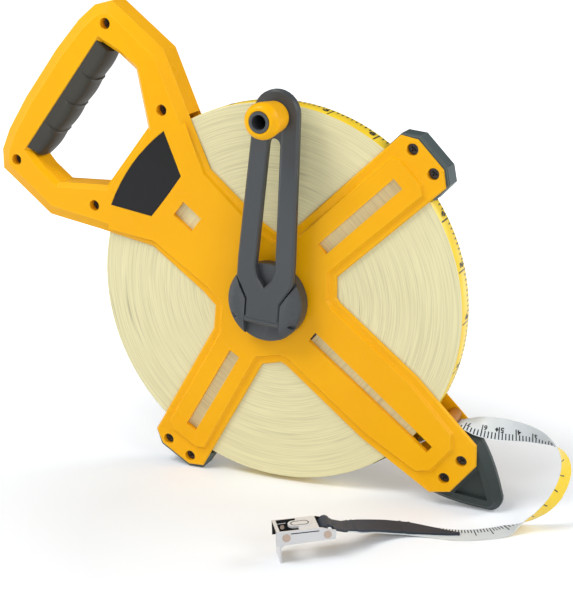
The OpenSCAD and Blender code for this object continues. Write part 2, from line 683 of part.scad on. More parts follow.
module claw_rivets() {
    color("silver") on_hook() for (s = [-1, 1]) scale([1, s, 1])
        translate([claw_pin_x, hook_w / 2 + 0.6, claw_pin_z]) rotate([90, 0, 0]) {
            cylinder(r = 1.2, h = 3.2);
            cylinder(r = 2.2, h = 0.6);
        }
}

front_frame();
rear_frame();
handle_grip();
upper_bumper();
lower_bumper();
ground_spike();
frame_screws();
label_plate();
guide_pins();
upper_guide_roller();
lower_guide_roller();
front_bush();
rear_bush();
spool_core();
tape_pack();
crank_hub();
rear_cap();
hub_screw();
crank_pivot_pin();
crank_arm();
knob_post();
crank_knob();
tape_run();
tape_lead();
end_strap();
strap_pin();
hook_frame();
hook_claw();
claw_rivets();
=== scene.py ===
import math

import bmesh
import bpy
from mathutils import Matrix, Vector, noise


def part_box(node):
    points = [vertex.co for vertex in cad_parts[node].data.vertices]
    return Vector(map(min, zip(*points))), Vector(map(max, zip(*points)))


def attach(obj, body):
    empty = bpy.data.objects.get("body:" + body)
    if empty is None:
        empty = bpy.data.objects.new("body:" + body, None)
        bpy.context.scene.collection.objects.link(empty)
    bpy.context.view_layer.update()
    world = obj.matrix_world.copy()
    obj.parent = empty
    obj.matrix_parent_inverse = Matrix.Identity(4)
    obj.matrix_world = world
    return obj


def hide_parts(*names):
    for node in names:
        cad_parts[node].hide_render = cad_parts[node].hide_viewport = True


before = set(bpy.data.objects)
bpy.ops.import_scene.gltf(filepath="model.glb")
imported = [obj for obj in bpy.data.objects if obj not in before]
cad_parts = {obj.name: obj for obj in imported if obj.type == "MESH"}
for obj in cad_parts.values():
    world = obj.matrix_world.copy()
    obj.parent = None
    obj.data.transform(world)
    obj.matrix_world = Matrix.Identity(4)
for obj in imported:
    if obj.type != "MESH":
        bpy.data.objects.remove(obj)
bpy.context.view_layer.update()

scene = bpy.context.scene
scene.view_settings.view_transform = "Standard"

# ---------------------------------------------------------------------------------------------
# The reel as it stands. It is drawn flat in millimetres, with x from the hub to the handle and z
# towards the crank, and tips up on its lower bumper and its spike.
low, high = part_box("tape_pack")
hub = Vector(((low.x + high.x) / 2, (low.y + high.y) / 2, (low.z + high.z) / 2))
hub.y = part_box("front_frame")[0].y
pack_radius = (high.x - low.x) / 2
pack_front, pack_back = low.y, high.y
mm = 0.001
lean = math.radians(139.724)
standing = (Matrix.Translation(hub) @ Matrix.Rotation(math.radians(90), 4, "X")
            @ Matrix.Rotation(lean, 4, "Z") @ Matrix.Scale(mm, 4))

# ---------------------------------------------------------------------------------------------
# The studio: a pale floor that keeps the reel's shadow, five soft lamps, and a camera in front of
# the reel, a little above its handle and to the right of its crank.
camera_place = Vector((0.34728, -0.67670, 0.34930))
camera_turn = Matrix(((0.91226, -0.09026, 0.39958),
                      (0.4085, 0.2749, -0.8704),
                      (-0.03127, 0.95725, 0.28758)))
camera = bpy.data.objects.new("camera", bpy.data.cameras.new("camera"))
camera.data.lens, camera.data.sensor_width = 79.5, 36
camera.data.clip_start, camera.data.clip_end = 0.05, 20
camera.matrix_world = Matrix.Translation(camera_place) @ camera_turn.to_4x4()
scene.collection.objects.link(camera)
scene.camera = camera


def soft_lamp(name, place, towards, size, watts):
    """A square softbox that faces a point."""
    lamp = bpy.data.objects.new(name, bpy.data.lights.new(name, "AREA"))
    lamp.data.size, lamp.data.energy = size, watts
    lamp.location = place
    lamp.rotation_mode = "QUATERNION"
    lamp.rotation_quaternion = (Vector(towards) - Vector(place)).to_track_quat("-Z", "Y")
    scene.collection.objects.link(lamp)


soft_lamp("lamp_over", (-0.45, -0.55, 1.15), (0.05, 0, 0.1), 0.6, 10.4)
soft_lamp("lamp_left", (-1.3, -0.55, 0.32), (0, 0, 0.15), 1.3, 6.6)
soft_lamp("lamp_front", (0.6, -1.6, 0.8), (0.05, 0, 0.12), 1.3, 6.0)
soft_lamp("lamp_right", (1.25, -0.55, 0.7), (0.1, 0, 0.12), 0.7, 6.2)
soft_lamp("lamp_back", (0.95, 0.6, 0.7), (0.05, 0, 0.15), 0.6, 6.2)


def add_node(tree, kind, inputs=None, **choices):
    """Adds a node: its choices first, then its inputs by name or place."""
    node = tree.nodes.new("ShaderNode" + kind)
    for choice, value in choices.items():
        setattr(node, choice, value)
    for socket, value in (inputs or {}).items():
        node.inputs[socket].default_value = value
    return node


def join(tree, wires):
    """Wires up nodes: each entry is a node, its output, the next node and its input."""
    for a, out, b, into in wires:
        tree.links.new(a.outputs[out], b.inputs[into])


def new_finish(name):
    """A new material, with its node tree and its shader."""
    finish = bpy.data.materials.new(name)
    finish.use_nodes = True
    return finish, finish.node_tree, finish.node_tree.nodes["Principled BSDF"]


# The world lights the reel faintly, and shows white to the camera.
world = bpy.data.worlds.new("studio")
scene.world = world
world.use_nodes = True
tree = world.node_tree
faint = tree.nodes["Background"]
faint.inputs["Color"].default_value = (1, 1, 1, 1)
faint.inputs["Strength"].default_value = 0.14
white = add_node(tree, "Background", {"Color": (1, 1, 1, 1)})
rays = add_node(tree, "LightPath")
choose = add_node(tree, "MixShader")
join(tree, [(rays, "Is Camera Ray", choose, "Fac"), (faint, 0, choose, 1), (white, 0, choose, 2),
            (choose, 0, tree.nodes["World Output"], "Surface")])

# The floor fades to white with distance, to the camera and in reflections only.
bm = bmesh.new()
bmesh.ops.create_circle(bm, cap_ends=True, segments=96, radius=6)
floor = bpy.data.objects.new("floor", bpy.data.meshes.new("floor"))
bm.to_mesh(floor.data)
bm.free()
scene.collection.objects.link(floor)
paper, tree, matt = new_finish("floor_paper")
matt.inputs["Base Color"].default_value = (0.86, 0.89, 0.925, 1)
matt.inputs["Roughness"].default_value = 0.9
matt.inputs["Specular IOR Level"].default_value = 0.1
under_reel = (0.04, -0.06, 0)
where = add_node(tree, "TexCoord")
far = add_node(tree, "VectorMath", {1: under_reel}, operation="DISTANCE")
fade = add_node(tree, "MapRange", {"From Min": 0.1, "From Max": 0.7, "To Min": 0.05, "To Max": 1.0})
rays = add_node(tree, "LightPath")
either = add_node(tree, "Math", operation="MAXIMUM")
strength = add_node(tree, "Math", operation="MULTIPLY")
glow = add_node(tree, "Emission")
both = add_node(tree, "AddShader")
join(tree, [(where, "Object", far, 0), (far, "Value", fade, "Value"),
            (rays, "Is Camera Ray", either, 0), (rays, "Is Glossy Ray", either, 1),
            (fade, "Result", strength, 0), (either, 0, strength, 1),
            (strength, 0, glow, "Strength"), (matt, 0, both, 0), (glow, 0, both, 1),
            (both, 0, tree.nodes["Material Output"], "Surface")])
floor.data.materials.append(paper)


# ---------------------------------------------------------------------------------------------
# Two moulded halves of glossy yellow-orange plastic make the frame: a raised panel on a lower
# flange, hollow behind, with their edges eased by the mould. Ten screws hold them together.
def two_tints(tree, dark, light, begin=0.0, end=1.0):
    """A blend from a dark tint to a light one, between two values."""
    blend = add_node(tree, "ValToRGB")
    first, last = blend.color_ramp.elements
    first.position, last.position = begin, end
    first.color, last.color = (*dark, 1), (*light, 1)
    return blend


def moulded(name, light, dark, rough, grain=2600.0, depth=0.03, painted_edge_highlight=None, shine=0.35):
    """Moulded plastic or rubber: two close tints in soft clouds, a gloss that varies a little, and
    the mould's fine grain, its depth in millimetres. A painted edge highlight, where it is given,
    pales the sharp edges."""
    finish, tree, shader = new_finish(name)
    shader.inputs["Specular IOR Level"].default_value = shine
    where = add_node(tree, "TexCoord")
    cloud = add_node(tree, "TexNoise", {"Scale": 16, "Detail": 5})
    fine = add_node(tree, "TexNoise", {"Scale": grain, "Detail": 3})
    tint = two_tints(tree, dark, light, 0.3, 0.7)
    gloss = add_node(tree, "MapRange", {"To Min": rough - 0.05, "To Max": rough + 0.07})
    bump = add_node(tree, "Bump", {"Strength": 0.35, "Distance": depth * mm})
    join(tree, [(where, "Object", cloud, "Vector"), (where, "Object", fine, "Vector"),
                (cloud, "Fac", tint, "Fac"), (cloud, "Fac", gloss, "Value"),
                (gloss, "Result", shader, "Roughness"), (fine, "Fac", bump, "Height"),
                (bump, "Normal", shader, "Normal"), (tint, "Color", shader, "Base Color")])
    # Painted highlight: the sharp edges, found by their pointiness, are mixed towards a paler tint.
    if painted_edge_highlight:
        edges = add_node(tree, "NewGeometry")
        highlight_amount = add_node(tree, "MapRange", {"From Min": 0.53, "From Max": 0.62, "To Max": 0.6})
        highlighted = add_node(tree, "Mix", {"B": (*painted_edge_highlight, 1)}, data_type="RGBA")
        join(tree, [(edges, "Pointiness", highlight_amount, "Value"), (highlight_amount, "Result", highlighted, "Factor"),
                    (tint, "Color", highlighted, "A"), (highlighted, "Result", shader, "Base Color")])
    return finish


def add_piece(name, bm, body, finishes, stands_for=(), crease=35):
    """Makes the mesh a piece: it shades smoothly up to its creases, rides on a body, and stands
    for CAD nodes."""
    for face in bm.faces:
        face.smooth = True
    for edge in bm.edges:
        edge.smooth = edge.is_manifold and edge.calc_face_angle(0) < math.radians(crease)
    piece = bpy.data.objects.new(name, bpy.data.meshes.new(name))
    bm.to_mesh(piece.data)
    bm.free()
    for finish in finishes:
        piece.data.materials.append(finish)
    scene.collection.objects.link(piece)
    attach(piece, body)
    if stands_for:
        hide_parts(*stands_for)
    if crease < 60:
        flats = piece.modifiers.new("flat_faces", "WEIGHTED_NORMAL")
        flats.keep_sharp = True
    return piece


def eased(node, ease, over=24, segments=2, edges_differ=False):
    """A CAD node's own shape, with its sharp edges rounded by the radius given in millimetres.
    The rounded edges take the piece's second finish, a painted edge highlight, where they differ."""
    same_spot, same_plane = 0.004 * mm, math.radians(0.6)
    bm = bmesh.new()
    bm.from_mesh(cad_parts[node].data)
    bmesh.ops.remove_doubles(bm, verts=bm.verts, dist=same_spot)
    bmesh.ops.dissolve_limit(bm, angle_limit=same_plane, verts=bm.verts, edges=bm.edges)
    sharp = [e for e in bm.edges
             if e.is_manifold and e.calc_face_angle(0) > math.radians(over)]
    made = bmesh.ops.bevel(bm, geom=sharp, offset=ease * mm, offset_type="OFFSET", affect="EDGES",
                           segments=segments, profile=0.5, material=-1, clamp_overlap=True,
                           loop_slide=True)
    for face in made["faces"]:
        face.material_index = 1 if edges_differ else 0
    return bm


orange = moulded("orange_plastic", (0.92, 0.45, 0.004), (0.88, 0.41, 0.003), 0.28, depth=0.02,
                 shine=0.15)
# The eased edges are a paler, yellower orange than the panels: a painted highlight along them.
orange_edge_highlight = moulded("orange_painted_edge_highlight", (1.0, 0.76, 0.10), (0.98, 0.72, 0.08), 0.22, depth=0.01,
                      shine=0.4)
add_piece("front_half", eased("front_frame", 1.2, segments=3, edges_differ=True), "frame",
          [orange, orange_edge_highlight], ["front_frame"])
add_piece("rear_half", eased("rear_frame", 0.8, edges_differ=True), "frame",
          [orange, orange_edge_highlight], ["rear_frame"])

# ---------------------------------------------------------------------------------------------
# Moulded bushes, pressed into both halves from inside, carry the drum: a dark plastic wheel with
# a webbed disc and a hollow boss. A flat plastic cap closes it behind, held by one screw.
ivory = moulded("bush_plastic", (0.78, 0.74, 0.62), (0.7, 0.66, 0.54), 0.35)
for node in ("front_bush", "rear_bush"):
    add_piece(node + "_ring", eased(node, 0.25), "frame", [ivory], [node])
charcoal = moulded("dark_plastic", (0.05, 0.055, 0.06), (0.035, 0.04, 0.045), 0.42)
add_piece("drum", eased("spool_core", 0.3), "reel", [charcoal], ["spool_core"])
add_piece("rear_cover", eased("rear_cap", 0.4), "reel", [charcoal], ["rear_cap"])

# ---------------------------------------------------------------------------------------------
# The wound tape: over two hundred turns of coated glass-fibre tape, cream at their cut edges,
# which lie a hair's breadth proud of each other. It is wound tight on the drum, and the last turn
# shows its yellow printed face.
drum_radius, turns = 34.5, 209
first_turn, last_turn = drum_radius + 0.05, pack_radius / mm - 0.3
bm = bmesh.new()
noise.seed_set(7)
rings = []
for side, face_y in ((-1, pack_front), (1, pack_back)):
    row = []
    for i in range(turns + 1):
        out = first_turn + (last_turn - first_turn) * i / turns
        ragged = 0.03 * noise.noise((i * 0.71, side * 9.0, 0))
        waves = 0.04 * noise.noise((i * 0.07, side * 5.0, 3))
        row.append((out, face_y - side * max(0.05 + ragged + waves, 0.0) * mm))
    rings.append(row if side < 0 else row[::-1])
rim_out, eased_out = pack_radius / mm, pack_radius / mm - 0.12
profile = (rings[0] + [(eased_out, pack_front + 0.05 * mm), (rim_out, pack_front + 0.2 * mm),
                       (rim_out, pack_back - 0.2 * mm), (eased_out, pack_back - 0.05 * mm)]
           + rings[1])
spots = [bm.verts.new((hub.x + out * mm, y, hub.z)) for out, y in profile]
for a, b in zip(spots, spots[1:] + spots[:1]):
    bm.edges.new((a, b))
bmesh.ops.spin(bm, geom=bm.verts[:] + bm.edges[:], cent=hub, axis=(0, 1, 0), angle=math.tau,
               steps=96, use_merge=True, use_duplicate=False)
bmesh.ops.recalc_face_normals(bm, faces=bm.faces)
for face in bm.faces:
    spot = face.calc_center_median() - hub
    outermost = math.hypot(spot.x, spot.z) > pack_radius - 0.15 * mm
    face.material_index = 1 if outermost else 0

# The cut edges: noise drawn out round the hub into fine lines, dark streaks and broad clouds.
cream, tree, shader = new_finish("wound_tape_edges")
shader.inputs["Roughness"].default_value = 0.55
where = add_node(tree, "TexCoord")
centre = add_node(tree, "Mapping", {"Location": (-hub.x, 0, -hub.z)})
flat = add_node(tree, "VectorMath", {1: (1, 0, 1)}, operation="MULTIPLY")
radius = add_node(tree, "VectorMath", operation="LENGTH")
towards = add_node(tree, "VectorMath", operation="NORMALIZE")
lift = add_node(tree, "CombineXYZ")
cylinder = add_node(tree, "VectorMath", operation="ADD")
layers = []
for scale in ((2.2, 1500, 2.2), (1.6, 620, 1.6), (1.8, 30, 1.8)):
    stretch = add_node(tree, "VectorMath", {1: scale}, operation="MULTIPLY")
    layer = add_node(tree, "TexNoise", {"Scale": 1, "Detail": 2})
    join(tree, [(cylinder, 0, stretch, 0), (stretch, 0, layer, "Vector")])
    layers.append(layer)
fine_lines, streaks, clouds = layers
tint = two_tints(tree, (0.64, 0.585, 0.335), (0.79, 0.73, 0.43), 0.3, 0.6)
dark = two_tints(tree, (0.66, 0.65, 0.66), (1, 1, 1), 0.3, 0.4)
patches = add_node(tree, "MapRange", {"From Min": 0.5, "From Max": 0.68})
blend = add_node(tree, "Mix", data_type="RGBA", blend_type="MULTIPLY")
bump = add_node(tree, "Bump", {"Strength": 0.25, "Distance": 0.04 * mm})
join(tree, [(where, "Object", centre, "Vector"), (centre, "Vector", flat, 0),
            (flat, 0, radius, 0), (flat, 0, towards, 0), (radius, "Value", lift, "Y"),
            (towards, 0, cylinder, 0), (lift, 0, cylinder, 1),
            (fine_lines, "Fac", tint, "Fac"), (streaks, "Fac", dark, "Fac"),
            (clouds, "Fac", patches, "Value"), (patches, "Result", blend, "Factor"),
            (tint, "Color", blend, "A"), (dark, "Color", blend, "B"),
            (blend, "Result", shader, "Base Color"), (fine_lines, "Fac", bump, "Height"),
            (bump, "Normal", shader, "Normal")])


def math_step(tree, kind, first, second=None, third=None):
    """One step of a node sum: each of its terms is a number or another node's output."""
    step = add_node(tree, "Math", operation=kind)
    for socket, term in zip(step.inputs, (first, second, third)):
        if isinstance(term, (int, float)):
            socket.default_value = term
        elif term is not None:
            tree.links.new(term, socket)
    return step.outputs[0]


def marks(tree, along, across, every, wide, start, long):
    """1 where a printed line is: one for each step along the tape, between two distances from
    its edge."""
    phase = math_step(tree, "FRACT", math_step(tree, "DIVIDE", along, every))
    near = math_step(tree, "LESS_THAN", phase, wide / every)
    inside = math_step(tree, "LESS_THAN", across, start + long)
    outside = math_step(tree, "GREATER_THAN", across, start)
    return math_step(tree, "MULTIPLY", near, math_step(tree, "MULTIPLY", inside, outside))


# The printed face: long lines that share out the last turn, and ten short ones to each of them.
long_lines, first_line = 24, 3.2
apart_by = math.tau * pack_radius / long_lines
rim, tree, shader = new_finish("wound_tape_face")
shader.inputs["Roughness"].default_value = 0.4
where = add_node(tree, "TexCoord")
centre = add_node(tree, "Mapping", {"Location": (-hub.x, -pack_back, -hub.z)})
apart = add_node(tree, "SeparateXYZ")
join(tree, [(where, "Object", centre, "Vector"), (centre, "Vector", apart, 0)])
angle = math_step(tree, "ARCTAN2", apart.outputs["Z"], apart.outputs["X"])
along = math_step(tree, "MULTIPLY", math_step(tree, "ADD", angle, first_line), pack_radius)
across = math_step(tree, "MULTIPLY", apart.outputs["Y"], -1.0)
short = marks(tree, along, across, apart_by / 10, 0.8 * mm, 0.3 * mm, 3.6 * mm)
long = marks(tree, along, across, apart_by, 0.9 * mm, 0.0, 12.0 * mm)
cloud = add_node(tree, "TexNoise", {"Scale": 60})
yellow = two_tints(tree, (0.90, 0.60, 0.02), (0.95, 0.70, 0.03), 0.3, 0.7)
printed = add_node(tree, "Mix", {"B": (0.02, 0.02, 0.02, 1)}, data_type="RGBA")
join(tree, [(where, "Object", cloud, "Vector"), (cloud, "Fac", yellow, "Fac"),
            (yellow, "Color", printed, "A"), (printed, "Result", shader, "Base Color")])
tree.links.new(math_step(tree, "MAXIMUM", short, long), printed.inputs["Factor"])
add_piece("wound_tape", bm, "reel", [cream, rim], ["tape_pack"], crease=60)


# ---------------------------------------------------------------------------------------------
# Two plastic rollers turn on steel pins across the leg, and the tape runs out between them. The
# hub's screw and the crank's pin are of the same bright steel.
def refinish(node, finish):
    """Gives a CAD node's own mesh a finish."""
    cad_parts[node].data.materials.clear()
    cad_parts[node].data.materials.append(finish)


steel, tree, shader = new_finish("bright_steel")
shader.inputs["Metallic"].default_value = 1
where = add_node(tree, "TexCoord")
fine = add_node(tree, "TexNoise", {"Scale": 900})
tint = two_tints(tree, (0.6, 0.6, 0.6), (0.78, 0.78, 0.79))
gloss = add_node(tree, "MapRange", {"To Min": 0.2, "To Max": 0.4})
join(tree, [(where, "Object", fine, "Vector"), (fine, "Fac", tint, "Fac"),
            (fine, "Fac", gloss, "Value"), (tint, "Color", shader, "Base Color"),
            (gloss, "Result", shader, "Roughness")])
for node in ("guide_pins", "hub_screw", "crank_pivot_pin"):
    refinish(node, steel)
# The rollers' plastic is darkened to brown: painted shade of the deep gap between the halves they
# sit in.
roller_painted_shade = moulded("roller_plastic", (0.46, 0.17, 0.015), (0.38, 0.13, 0.01), 0.35)
for place in ("upper", "lower"):
    add_piece(place + "_roller_sleeve", eased(place + "_guide_roller", 0.3), place + "_roller",
              [roller_painted_shade], [place + "_guide_roller"])

# ---------------------------------------------------------------------------------------------
# Dark rubber: a spike that plants the reel in soft ground, and two bumpers on the side arms. Each
# is clamped between the halves, and its edges are paler: a painted highlight.
spike_rubber = moulded("spike_rubber", (0.034, 0.047, 0.045), (0.024, 0.034, 0.032), 0.45,
                       depth=0.05, painted_edge_highlight=(0.10, 0.125, 0.125))
add_piece("spike_foot", eased("ground_spike", 0.9, over=18), "frame", [spike_rubber],
          ["ground_spike"])
rubber = moulded("bumper_rubber", (0.060, 0.088, 0.088), (0.044, 0.065, 0.065), 0.5, depth=0.05,
                 painted_edge_highlight=(0.12, 0.15, 0.15))
# The bumpers' rounded edges take a lighter grey: a painted highlight.
rubber_edge_highlight = moulded("rubber_painted_edge_highlight", (0.15, 0.165, 0.155), (0.11, 0.13, 0.125), 0.5, depth=0.05)
for node in ("upper_bumper", "lower_bumper"):
    add_piece(node + "_pad", eased(node, 0.8, over=18, edges_differ=True), "frame",
              [rubber, rubber_edge_highlight], [node])

# ---------------------------------------------------------------------------------------------
# The grip is a block of softer rubber, held between the halves in the hand side of the opening.
# Three lips across its inner face part the fingers' places.
soft_rubber = moulded("grip_rubber", (0.040, 0.038, 0.029), (0.028, 0.026, 0.020), 0.5,
                      grain=1800, depth=0.06)
bm = eased("handle_grip", 1.2, over=30, segments=3)
finger, lip_from, lip_high, lip_before, lip_after = 21.6, 178.5, 0.8, 0.4, 2.4
along_grip = standing.col[1].xyz.normalized()
from_standing = standing.inverted()
for lip in (-finger, 0, finger):
    for cut in (lip - lip_before, lip, lip + lip_after):
        bmesh.ops.bisect_plane(bm, geom=bm.verts[:] + bm.edges[:] + bm.faces[:], dist=0.001 * mm,
                               plane_co=standing @ Vector((0, cut, 0)), plane_no=along_grip)
    bm.normal_update()
    for v in bm.verts:
        spot = from_standing @ v.co
        if abs(spot.y - lip) < 0.05 and spot.x < lip_from:
            v.co += lip_high * mm * v.normal
add_piece("grip_pad", bm, "frame", [soft_rubber], ["handle_grip"])

# ---------------------------------------------------------------------------------------------
# Ten dark cross-head screws of blued steel hold the halves together. They are sunk in their
# counterbores: two in each side arm, two in the spike and four round the handle.
blued = moulded("blued_steel", (0.05, 0.045, 0.04), (0.03, 0.027, 0.025), 0.35)
refinish("frame_screws", blued)

# ---------------------------------------------------------------------------------------------
# A fan-shaped plate of black film is stuck in a shallow recess between the handle and the hub.
# It is left bare.
black = moulded("label_film", (0.010, 0.010, 0.011), (0.007, 0.007, 0.008), 0.3, grain=4000,
                depth=0.008, shine=0.2)
add_piece("name_plate", eased("label_plate", 0.15), "frame", [black], ["label_plate"],
          crease=20)

# ---------------------------------------------------------------------------------------------
# The crank: a slate-grey plastic hub with a channel, in which the long arm folds on a steel pin,
# and a hollow post that the tapered orange knob turns on.
# The slate's sharp edges are paler: a painted highlight.
slate = moulded("crank_plastic", (0.062, 0.068, 0.073), (0.048, 0.053, 0.057), 0.36,
                painted_edge_highlight=(0.13, 0.14, 0.15))
add_piece("crank_cheeks", eased("crank_hub", 0.35), "reel", [slate],
          ["crank_hub"])
add_piece("crank_lever", eased("crank_arm", 0.45), "crank", [slate],
          ["crank_arm"])
add_piece("crank_post", eased("knob_post", 0.3), "crank", [slate], ["knob_post"])
amber = moulded("knob_plastic", (0.93, 0.47, 0.004), (0.90, 0.43, 0.003), 0.3, depth=0.02,
                shine=0.14)
add_piece("winding_knob", eased("crank_knob", 0.7, segments=3), "knob", [amber],
          ["crank_knob"])

# ---------------------------------------------------------------------------------------------
# The free end of the tape runs out between the rollers, twists over and lies on the ground. It is
# coated glass fibre, white on its inner face and yellow on its outer one, with printed
# graduations. The far end is strapped to the hook.
route = [(137, 16.2, 51.5), (138.2, 16.2, 52.1), (139.8, 16.3, 52.2), (145, 16.4, 52.1),
         (151, 16.5, 51.8), (161, 16.5, 51.7), (170.5, 16.5, 51.8), (179.5, 16.2, 51.6),
         (188.5, 15.6, 50.2), (195, 15, 47.6), (199.5, 14.2, 44), (202.3, 13.2, 38.8),
         (203.2, 11.8, 32.8), (202.3, 8.8, 26.6), (200, 5, 20.8), (196.8, 2.4, 15.8),
         (192.2, 0.4, 10.8), (186.8, -1.6, 6.8), (181.2, -4, 3.4), (176, -7.6, 1.2),
         (170.4, -13, 0.5), (162, -18.6, 0.4), (154, -22.5, 0.4), (146, -24.6, 0.4),
         (136, -25.6, 0.4), (126, -28, 1.2), (117, -32.6, 3), (109.4, -39.8, 5.8),
         (102.6, -48.4, 8.8), (98.2, -56, 11.4), (94.6, -62.2, 13.2)]
tilts = [0, 0, 1, 15, 40, 70, 92, 108, 125, 146, 166, 184, 197, 204, 210, 211, 209, 204, 193, 177,
         178, 180, 180, 180, 180, 181, 184, 188, 192, 198, 204]
tape_half, tape_thick = 6.5, 0.4


def smooth_line(points, values, steps):
    """A smooth line through the points, with the values between them."""
    spots, between = [], []
    for i in range(len(points) - 1):
        p = [Vector(points[min(max(i + k, 0), len(points) - 1)]) for k in (-1, 0, 1, 2)]
        for j in range(steps):
            t = j / steps
            spots.append(0.5 * (2 * p[1] + (p[2] - p[0]) * t
                                + (2 * p[0] - 5 * p[1] + 4 * p[2] - p[3]) * t * t
                                + (3 * p[1] - p[0] - 3 * p[2] + p[3]) * t ** 3))
            between.append(values[i] * (1 - t) + values[i + 1] * t)
    return spots + [Vector(points[-1])], between + [values[-1]]


def heading(line, i):
    """The way the line goes at one of its points."""
    return (line[min(i + 1, len(line) - 1)] - line[max(i - 1, 0)]).normalized()


def crosswise(direction, tilt):
    """Across the tape: level, then turned about the tape's own line."""
    level = (Vector((0, 1, 0)) - direction.y * direction).normalized()
    return (math.cos(math.radians(tilt)) * level
            + math.sin(math.radians(tilt)) * direction.cross(level))


rib_high = 0.35


def lay_strip(line, sides, halves, columns, lift, ribs=()):
    """A flat strip of mesh laid along a line, with raised ribs across it where they are wanted.
    Its UV holds the distance along it and across it, in metres."""
    bm = bmesh.new()
    bmesh.ops.create_grid(bm, x_segments=len(line) - 1, y_segments=columns, size=1)
    gone = [0.0]
    for a, b in zip(line, line[1:]):
        gone.append(gone[-1] + (b - a).length * mm)
    layer = bm.loops.layers.uv.new("UVMap")
    spots = {}
    for v in bm.verts:
        i = round((v.co.x + 1) / 2 * (len(line) - 1))
        spots[v] = (gone[i], v.co.y * halves[i] * mm)
        up = heading(line, i).cross(sides[i])
        above = lift + (rib_high if i in ribs else 0)
        v.co = (line[i] + v.co.y * halves[i] * sides[i] + above * up) * mm
    for face in bm.faces:
        for loop in face.loops:
            loop[layer].uv = spots[loop.vert]
    return bm


line, tilt = smooth_line(route, tilts, 6)
sides = [crosswise(heading(line, i), a) for i, a in enumerate(tilt)]
bm = lay_strip(line, sides, [tape_half] * len(line), 4, tape_thick / 2)


def tape_print(name, base, shade, steps):
    """Printed tape: a coated base and black lines. Each step of them has the edge it starts from,
    where the first line is, the spacing, the width and the length."""
    finish, tree, shader = new_finish(name)
    shader.inputs["Roughness"].default_value = 0.35
    shader.inputs["Specular IOR Level"].default_value = 0.25
    paper = add_node(tree, "UVMap", uv_map="UVMap")
    apart = add_node(tree, "SeparateXYZ")
    join(tree, [(paper, "UV", apart, 0)])
    lines = 0.0
    for edge, offset, every, wide, long in steps:
        along = math_step(tree, "ADD", apart.outputs["X"], offset + wide / 2)
        across = math_step(tree, "MULTIPLY_ADD", apart.outputs["Y"], float(edge), tape_half * mm)
        step = marks(tree, along, across, every, wide, 0.35 * mm, long)
        lines = math_step(tree, "MAXIMUM", lines, step)
    where = add_node(tree, "TexCoord")
    weave = add_node(tree, "TexNoise", {"Scale": 300})
    tint = two_tints(tree, shade, base)
    printed = add_node(tree, "Mix", {"B": (0.02, 0.02, 0.022, 1)}, data_type="RGBA")
    bump = add_node(tree, "Bump", {"Strength": 0.25, "Distance": 0.03 * mm})
    join(tree, [(where, "Object", weave, "Vector"), (weave, "Fac", tint, "Fac"),
                (tint, "Color", printed, "A"), (printed, "Result", shader, "Base Color"),
                (weave, "Fac", bump, "Height"), (bump, "Normal", shader, "Normal")])
    tree.links.new(lines, printed.inputs["Factor"])
    return finish


def thicken(piece, thick):
    """Gives a flat strip its thickness, in millimetres, below the face it was laid with."""
    wall = piece.modifiers.new("thickness", "SOLIDIFY")
    wall.thickness, wall.offset = thick * mm, -1
    return wall


white_print = tape_print("white_tape_face", (0.71, 0.75, 0.76), (0.65, 0.69, 0.70),
                         [(1, 0.024, 0.002, 0.0007, 0.0039), (1, 0.024, 0.010, 0.0007, 0.0074)])
yellow_print = tape_print("yellow_tape_face", (0.96, 0.69, 0.02), (0.91, 0.61, 0.015),
                          [(-1, 0.0005, 0.010, 0.0007, 0.0050)])
webbing = moulded("strap_webbing", (0.048, 0.058, 0.080), (0.030, 0.038, 0.053), 0.45, grain=1500,
                  depth=0.08, shine=0.2)

# Each face of the tape's underside takes the finish that comes after the one above it: yellow
# under white, and the dark webbing finish under the strapped stretch, painted shade that keeps
# the yellow out of the floor's shadow there.
under_finish, painted_shade_under_strap = 1, 2
strap_start = 134
strapped = sum((b - a).length for a, b in zip(line[:strap_start], line[1:])) * mm + 0.009
for face in bm.faces:
    if min(loop[bm.loops.layers.uv[0]].uv.x for loop in face.loops) > strapped:
        face.material_index = painted_shade_under_strap
free_tape = add_piece("free_tape", bm, "frame",
                      [white_print, yellow_print, white_print, webbing], ["tape_lead"], crease=180)
thicken(free_tape, tape_thick).material_offset = under_finish


def figures(text, tall):
    """Bold printed figures as a flat mesh, with their foot at the origin and centred across it."""
    letters = bpy.data.curves.new("letters", "FONT")
    letters.body, letters.offset, letters.resolution_u = text, 0.035, 3
    holder = bpy.data.objects.new("letters", letters)
    flat = bpy.data.meshes.new_from_object(holder)
    bpy.data.objects.remove(holder)
    bm = bmesh.new()
    bm.from_mesh(flat)
    left, right = min(v.co.x for v in bm.verts), max(v.co.x for v in bm.verts)
    foot, top = min(v.co.y for v in bm.verts), max(v.co.y for v in bm.verts)
    for v in bm.verts:
        v.co = Vector((v.co.x - (left + right) / 2, v.co.y - foot, 0)) * tall / (top - foot)
    return bm


def add_marks(into, mark, place):
    """Copies a flat mark into a mesh, with each point put where the place function says."""
    copies = {v: into.verts.new(place(v.co.x, v.co.y)) for v in mark.verts}
    for face in mark.faces:
        into.faces.new([copies[v] for v in face.verts])
    mark.free()


def on_tape(along, across, above=0.3):
    """A point over the free tape: along it from the rollers, in metres, and across it and above
    its middle, in millimetres."""
    i, rest = 0, along / mm
    while i < len(line) - 2 and rest > (line[i + 1] - line[i]).length:
        rest -= (line[i + 1] - line[i]).length
        i += 1
    near, far = (line[k] + across * sides[k] + above * heading(line, k).cross(sides[k])
                 for k in (i, i + 1))
    return near.lerp(far, rest / (line[i + 1] - line[i]).length) * mm


ink, tree, shader = new_finish("printing_ink")
shader.inputs["Roughness"].default_value = 0.45
where = add_node(tree, "TexCoord")
patchy = add_node(tree, "TexNoise", {"Scale": 1500})
tint = two_tints(tree, (0.012, 0.012, 0.014), (0.03, 0.03, 0.034))
join(tree, [(where, "Object", patchy, "Vector"), (patchy, "Fac", tint, "Fac"),
            (tint, "Color", shader, "Base Color")])

